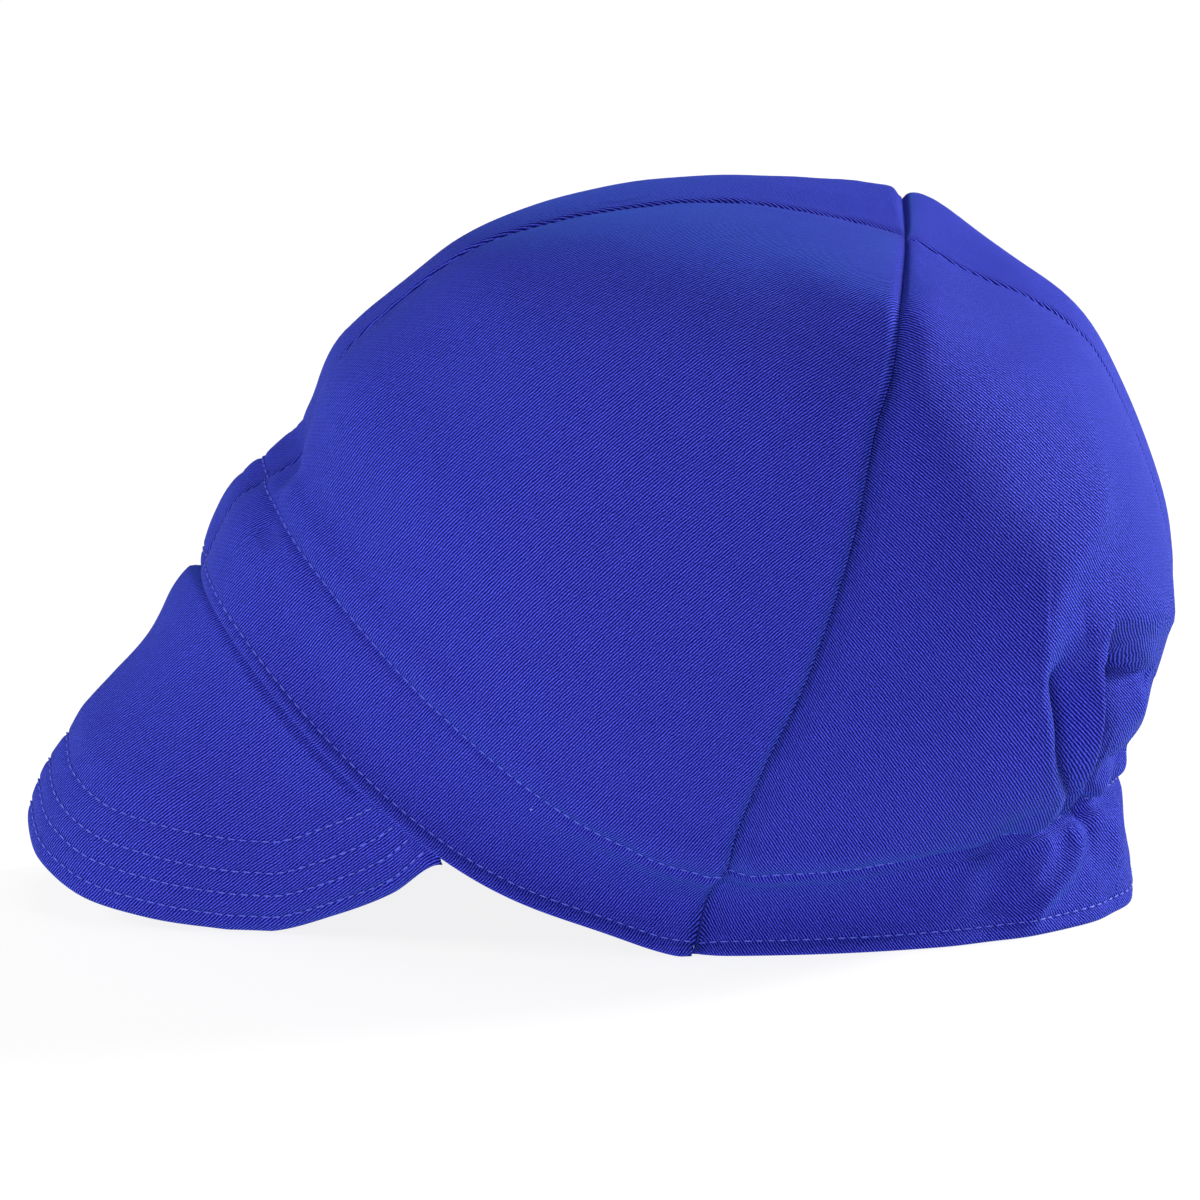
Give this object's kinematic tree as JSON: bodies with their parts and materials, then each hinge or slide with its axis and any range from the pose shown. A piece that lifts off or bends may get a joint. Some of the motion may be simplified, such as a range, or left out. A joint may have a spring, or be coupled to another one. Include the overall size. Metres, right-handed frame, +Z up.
{
  "type": "welding cap",
  "caption": "Soft cloth welding cap with a panelled crown, an inner sweatband with gathers at the back, and a short stitched peak that turns down.",
  "frame": {"origin": "centre of the cap's outline on the surface that it lies on", "axes": "+X to the back of the cap, so the peak points to -X; +Y to the wearer's right; +Z up"},
  "size_m": [0.2859, 0.1544, 0.18],
  "materials": {
    "crown_twill": "royal-blue cotton twill, matt with a soft sheen",
    "peak_twill": "the same twill over padding, with rows of stitching",
    "sweatband_twill": "royal-blue cotton, matt"
  },
  "bodies": {
    "root": {"crown_front_left": "crown_twill", "crown_front_right": "crown_twill", "crown_rear_left": "crown_twill", "crown_rear_right": "crown_twill", "sweatband": "sweatband_twill", "peak": "peak_twill"}
  },
  "joints": []
}
